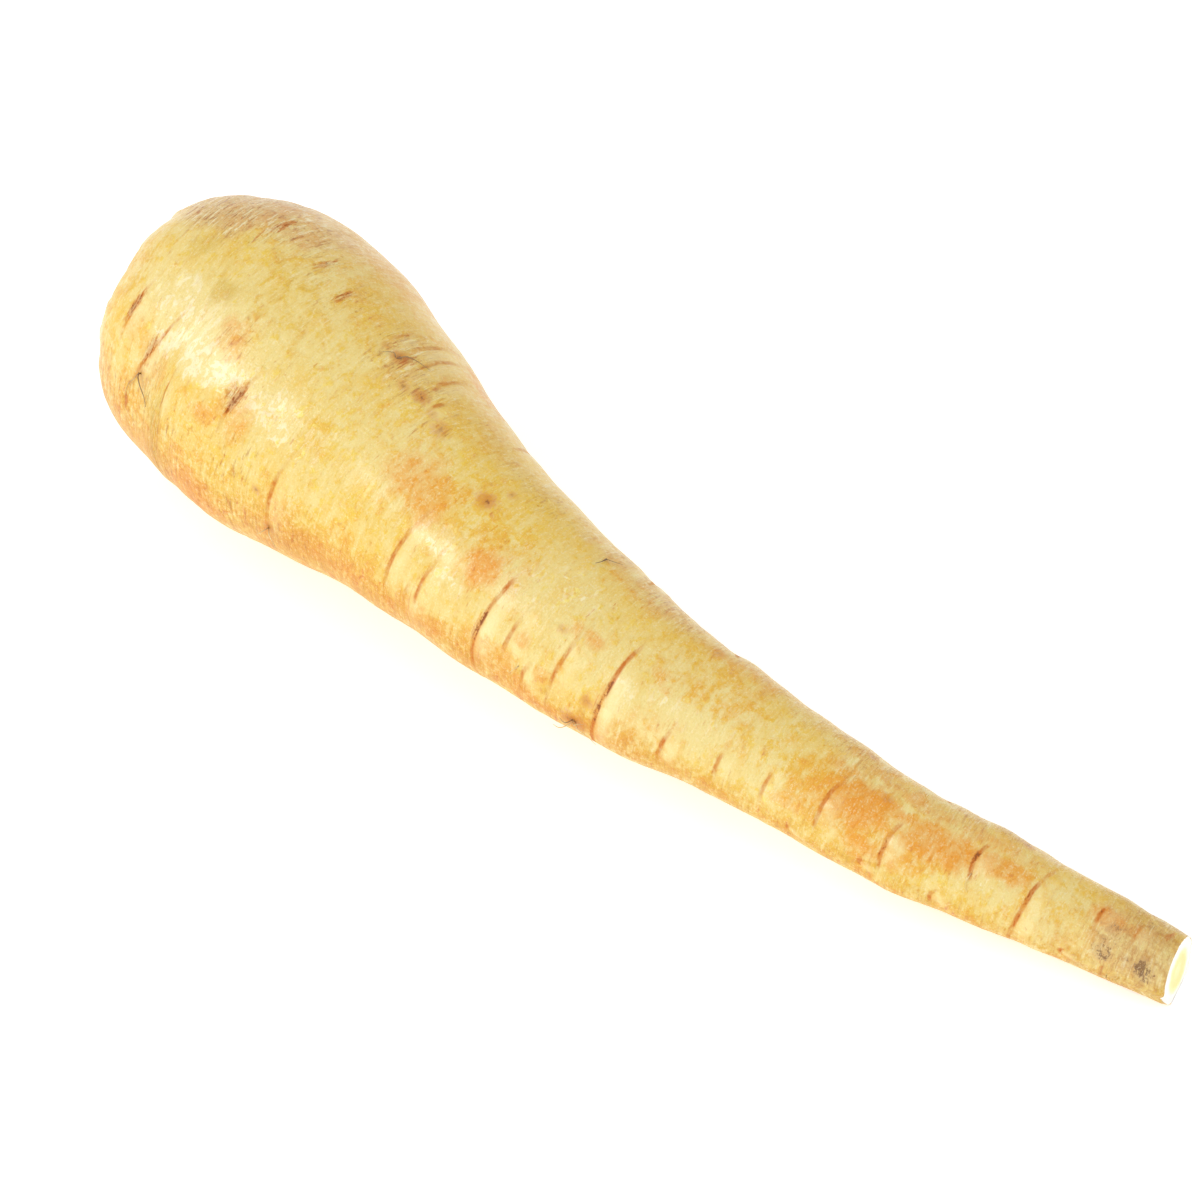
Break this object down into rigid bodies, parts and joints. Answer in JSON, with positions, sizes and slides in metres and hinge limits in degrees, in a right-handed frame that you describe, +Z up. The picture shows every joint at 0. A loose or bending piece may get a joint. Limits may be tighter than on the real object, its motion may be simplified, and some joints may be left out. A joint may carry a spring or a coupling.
{
  "type": "parsnip",
  "caption": "Parsnip lying on its side: round-shouldered, gently bowed cream taproot with a cut tail and short dried leaf stubs in a sunken crown.",
  "frame": {"origin": "on the ground under the middle of the whole object's box, as it lies at rest", "axes": "+X along the root towards its cut tail, +Z up, the root bows towards -Y"},
  "size_m": [0.2538, 0.0638, 0.0603],
  "materials": {
    "root_skin": "thin cream-yellow skin, satin, with brown growth creases and ochre stains",
    "leaf_stalk": "dried green-tan stalk, matt and fibrous, browned at the cut"
  },
  "bodies": {
    "root": {"taproot": "root_skin", "leaf_stub_outer_1": "leaf_stalk", "leaf_stub_outer_2": "leaf_stalk", "leaf_stub_outer_3": "leaf_stalk", "leaf_stub_outer_4": "leaf_stalk", "leaf_stub_inner_1": "leaf_stalk", "leaf_stub_inner_2": "leaf_stalk", "leaf_stub_inner_3": "leaf_stalk"}
  },
  "joints": []
}
